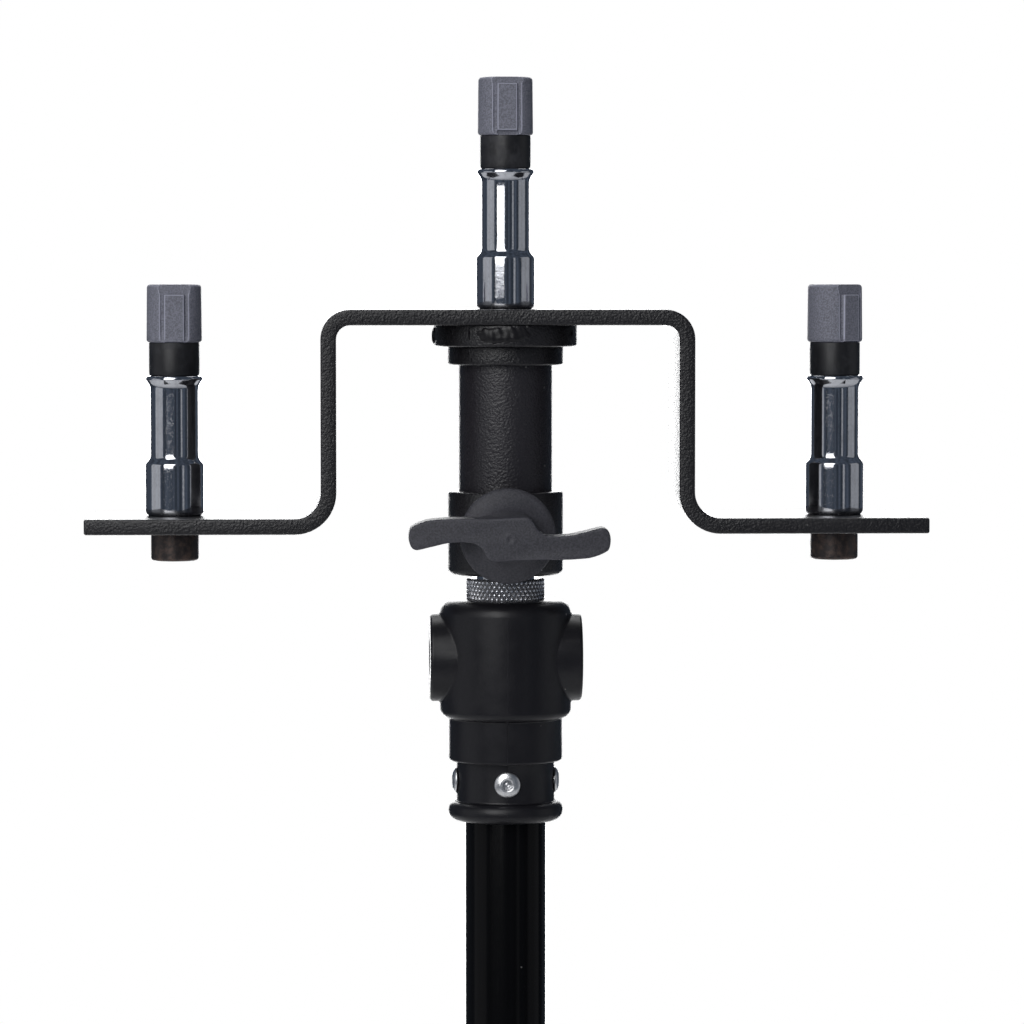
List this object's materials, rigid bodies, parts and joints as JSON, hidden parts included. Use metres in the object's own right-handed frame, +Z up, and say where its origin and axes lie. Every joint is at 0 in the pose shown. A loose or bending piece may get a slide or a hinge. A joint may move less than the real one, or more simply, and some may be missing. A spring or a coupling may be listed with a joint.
{
  "type": "c stand",
  "caption": "Telescopic grip stand with folding tube legs, locking wing knobs and a hat-shaped bar that carries waisted 16 mm lighting pins with rubber bushes and screw caps.",
  "frame": {"origin": "on the column's axis at floor level", "axes": "+Z up along the column and the pins; -Y is the front, the side the clamp knobs and the short leg face; +X is to the right as seen from the front, along the bar of the bracket"},
  "size_m": [0.7778, 0.6756, 1.2233],
  "materials": {
    "textured_powder_coat": "fine leathery texture, satin",
    "satin_black_paint": "satin",
    "gloss_black_paint": "gloss",
    "chrome_plate": "polished",
    "black_oxide_steel": "oiled black oxide",
    "zinc_steel": "bright zinc plate",
    "rivet_aluminium": "bright",
    "brass": "plain",
    "black_rubber": "matt",
    "grey_moulded_plastic": "matt",
    "dark_moulded_plastic": "matt",
    "nylon": "plain"
  },
  "bodies": {
    "column": {"base_column": "gloss_black_paint", "column_bottom_plug": "dark_moulded_plastic", "base_collar": "satin_black_paint", "base_collar_rivets": "rivet_aluminium", "base_collar_bush": "nylon", "short_leg_hub": "satin_black_paint", "short_leg_tube": "gloss_black_paint", "short_leg_foot": "black_rubber", "short_leg_rivets": "rivet_aluminium", "hub_washers": "nylon"},
    "middle_leg": {"middle_leg_hub": "satin_black_paint", "middle_leg_tube": "gloss_black_paint", "middle_leg_foot": "black_rubber", "middle_leg_rivets": "rivet_aluminium"},
    "tall_leg": {"tall_leg_hub": "satin_black_paint", "tall_leg_tube": "gloss_black_paint", "tall_leg_foot": "black_rubber", "tall_leg_rivets": "rivet_aluminium"},
    "leg_lock": {"leg_lock_ring": "satin_black_paint"},
    "middle_riser": {"middle_riser_tube": "gloss_black_paint", "middle_riser_guide": "dark_moulded_plastic", "middle_collar": "satin_black_paint", "middle_collar_rivets": "rivet_aluminium", "middle_collar_bush": "nylon"},
    "top_riser": {"top_riser_tube": "gloss_black_paint", "top_riser_guide": "dark_moulded_plastic", "top_casting": "satin_black_paint", "top_casting_rivets": "rivet_aluminium", "stand_spigot": "chrome_plate"},
    "head": {"bracket": "textured_powder_coat", "bracket_disk": "textured_powder_coat", "sleeve_top_ring": "textured_powder_coat", "sleeve_tube": "textured_powder_coat", "clamp_ring": "textured_powder_coat", "left_pin": "chrome_plate", "left_pin_screw": "black_oxide_steel", "left_rubber_bush": "black_rubber", "center_pin": "chrome_plate", "center_pin_screw": "black_oxide_steel", "center_rubber_bush": "black_rubber", "right_pin": "chrome_plate", "right_pin_screw": "black_oxide_steel", "right_rubber_bush": "black_rubber"},
    "leg_lock_screw": {"leg_lock_screw": "zinc_steel"},
    "leg_lock_knob": {"leg_lock_knob": "dark_moulded_plastic"},
    "middle_riser_clamp_screw": {"middle_riser_clamp_screw": "zinc_steel"},
    "middle_riser_clamp_knob": {"middle_riser_clamp_knob": "dark_moulded_plastic"},
    "top_riser_clamp_screw": {"top_riser_clamp_screw": "zinc_steel"},
    "top_riser_clamp_knob": {"top_riser_clamp_knob": "dark_moulded_plastic"},
    "head_clamp_screw": {"head_clamp_screw": "zinc_steel"},
    "head_clamp_knob": {"head_clamp_knob": "dark_moulded_plastic"},
    "left_cap_nut": {"left_cap_nut": "brass"},
    "left_cap": {"left_cap": "grey_moulded_plastic"},
    "center_cap_nut": {"center_cap_nut": "brass"},
    "center_cap": {"center_cap": "grey_moulded_plastic"},
    "right_cap_nut": {"right_cap_nut": "brass"},
    "right_cap": {"right_cap": "grey_moulded_plastic"}
  },
  "joints": [
    {"name": "middle_leg_fold", "type": "hinge", "parent": "column", "child": "middle_leg", "pos_m": [0, 0, 0.159], "axis": [0, 0, 1], "range_deg": [-104, 0]},
    {"name": "tall_leg_fold", "type": "hinge", "parent": "column", "child": "tall_leg", "pos_m": [0, 0, 0.196], "axis": [0, 0, 1], "range_deg": [0, 104]},
    {"name": "leg_lock_slide", "type": "slide", "parent": "column", "child": "leg_lock", "axis": [0, 0, 1], "range_m": [0, 0.04]},
    {"name": "middle_riser_slide", "type": "slide", "parent": "column", "child": "middle_riser", "axis": [0, 0, 1], "range_m": [0, 0.6]},
    {"name": "top_riser_slide", "type": "slide", "parent": "middle_riser", "child": "top_riser", "axis": [0, 0, 1], "range_m": [-0.099, 0.52]},
    {"name": "head_turn", "type": "hinge", "parent": "top_riser", "child": "head", "pos_m": [0, 0, 1.09965], "axis": [0, 0, 1], "continuous": true},
    {"name": "leg_lock_screw_travel", "type": "slide", "parent": "leg_lock", "child": "leg_lock_screw", "axis": [0, -1, 0], "range_m": [0, 0.0025]},
    {"name": "leg_lock_knob_turn", "type": "hinge", "parent": "leg_lock_screw", "child": "leg_lock_knob", "pos_m": [0, -0.03, 0.229], "axis": [0, -1, 0], "range_deg": [0, 720.5]},
    {"name": "middle_riser_clamp_screw_travel", "type": "slide", "parent": "column", "child": "middle_riser_clamp_screw", "axis": [0, -1, 0], "range_m": [0, 0.0025]},
    {"name": "middle_riser_clamp_knob_turn", "type": "hinge", "parent": "middle_riser_clamp_screw", "child": "middle_riser_clamp_knob", "pos_m": [0, -0.03, 0.8515], "axis": [0, -1, 0], "range_deg": [0, 720.5]},
    {"name": "top_riser_clamp_screw_travel", "type": "slide", "parent": "middle_riser", "child": "top_riser_clamp_screw", "axis": [0, -1, 0], "range_m": [0, 0.0025]},
    {"name": "top_riser_clamp_knob_turn", "type": "hinge", "parent": "top_riser_clamp_screw", "child": "top_riser_clamp_knob", "pos_m": [0, -0.03, 0.9075], "axis": [0, -1, 0], "range_deg": [0, 720.5]},
    {"name": "head_clamp_screw_travel", "type": "slide", "parent": "head", "child": "head_clamp_screw", "axis": [0, -1, 0], "range_m": [0, 0.0025]},
    {"name": "head_clamp_knob_turn", "type": "hinge", "parent": "head_clamp_screw", "child": "head_clamp_knob", "pos_m": [0, -0.03, 1.09965], "axis": [0, -1, 0], "range_deg": [0, 720.5]},
    {"name": "left_cap_travel", "type": "slide", "parent": "head", "child": "left_cap_nut", "axis": [0, 0, 1], "range_m": [0, 0.005]},
    {"name": "left_cap_turn", "type": "hinge", "parent": "left_cap_nut", "child": "left_cap", "pos_m": [-0.09, 0, 1.1595], "axis": [0, 0, 1], "range_deg": [0, 1440.5]},
    {"name": "center_cap_travel", "type": "slide", "parent": "head", "child": "center_cap_nut", "axis": [0, 0, 1], "range_m": [0, 0.005]},
    {"name": "center_cap_turn", "type": "hinge", "parent": "center_cap_nut", "child": "center_cap", "pos_m": [0, 0, 1.2156], "axis": [0, 0, 1], "range_deg": [0, 1440.5]},
    {"name": "right_cap_travel", "type": "slide", "parent": "head", "child": "right_cap_nut", "axis": [0, 0, 1], "range_m": [0, 0.005]},
    {"name": "right_cap_turn", "type": "hinge", "parent": "right_cap_nut", "child": "right_cap", "pos_m": [0.09, 0, 1.1595], "axis": [0, 0, 1], "range_deg": [0, 1440.5]}
  ],
  "couplings": [
    {"joint": "leg_lock_knob_turn", "follows": "leg_lock_screw_travel", "rad_per_m": 5026.5},
    {"joint": "middle_riser_clamp_knob_turn", "follows": "middle_riser_clamp_screw_travel", "rad_per_m": 5026.5},
    {"joint": "top_riser_clamp_knob_turn", "follows": "top_riser_clamp_screw_travel", "rad_per_m": 5026.5},
    {"joint": "head_clamp_knob_turn", "follows": "head_clamp_screw_travel", "rad_per_m": 5026.5},
    {"joint": "left_cap_turn", "follows": "left_cap_travel", "rad_per_m": 5026.5},
    {"joint": "center_cap_turn", "follows": "center_cap_travel", "rad_per_m": 5026.5},
    {"joint": "right_cap_turn", "follows": "right_cap_travel", "rad_per_m": 5026.5}
  ]
}
